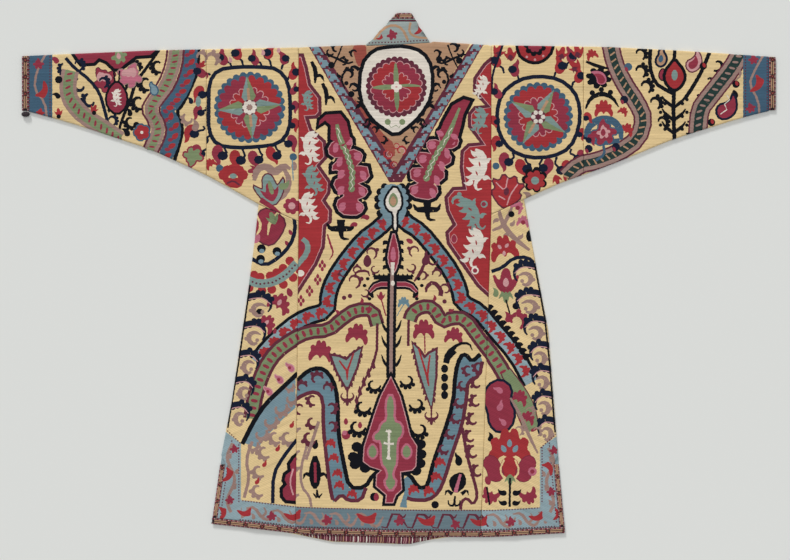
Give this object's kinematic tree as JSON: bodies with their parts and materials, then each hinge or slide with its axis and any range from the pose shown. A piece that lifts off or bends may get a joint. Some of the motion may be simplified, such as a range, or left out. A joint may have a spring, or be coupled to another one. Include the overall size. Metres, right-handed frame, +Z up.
{
  "type": "uzbek chapan robe laid flat",
  "caption": "Long open robe with tapering straight sleeves and a small standing collar, covered in silk embroidery and edged with narrow braid, laid out flat with its back up.",
  "frame": {"origin": "middle of the robe's bounding box, on the surface it lies on", "axes": "+X across from cuff to cuff, to the right as seen with the back up and the collar away; +Y from the hem towards the collar; +Z up out of the back"},
  "size_m": [1.6599, 1.1707, 0.0092],
  "materials": {
    "embroidered_silk": "couched silk embroidery in horizontal ribs on cotton, soft sheen, many thread colours on a pale yellow ground",
    "edge_braid": "narrow loop-woven silk and cotton braid, salmon dashes between dark brown edges, matt",
    "lining_cotton": "plum resist-dyed cotton with cream streaks, matt",
    "knot_thread": "dark twisted thread, matt"
  },
  "bodies": {
    "root": {"centre_panel": "embroidered_silk", "sleeve_upper_left": "embroidered_silk", "sleeve_upper_right": "embroidered_silk", "sleeve_lower_left": "embroidered_silk", "sleeve_lower_right": "embroidered_silk", "gore_back_left": "embroidered_silk", "gore_back_right": "embroidered_silk", "gore_front_left": "embroidered_silk", "gore_front_right": "embroidered_silk", "collar": "embroidered_silk", "collar_braid": "edge_braid", "cuff_braid_left": "edge_braid", "cuff_braid_right": "edge_braid", "hem_braid": "edge_braid", "slit_braid_left": "edge_braid", "slit_braid_right": "edge_braid", "lining_strip": "lining_cotton", "cuff_knot_left": "knot_thread"}
  },
  "joints": []
}
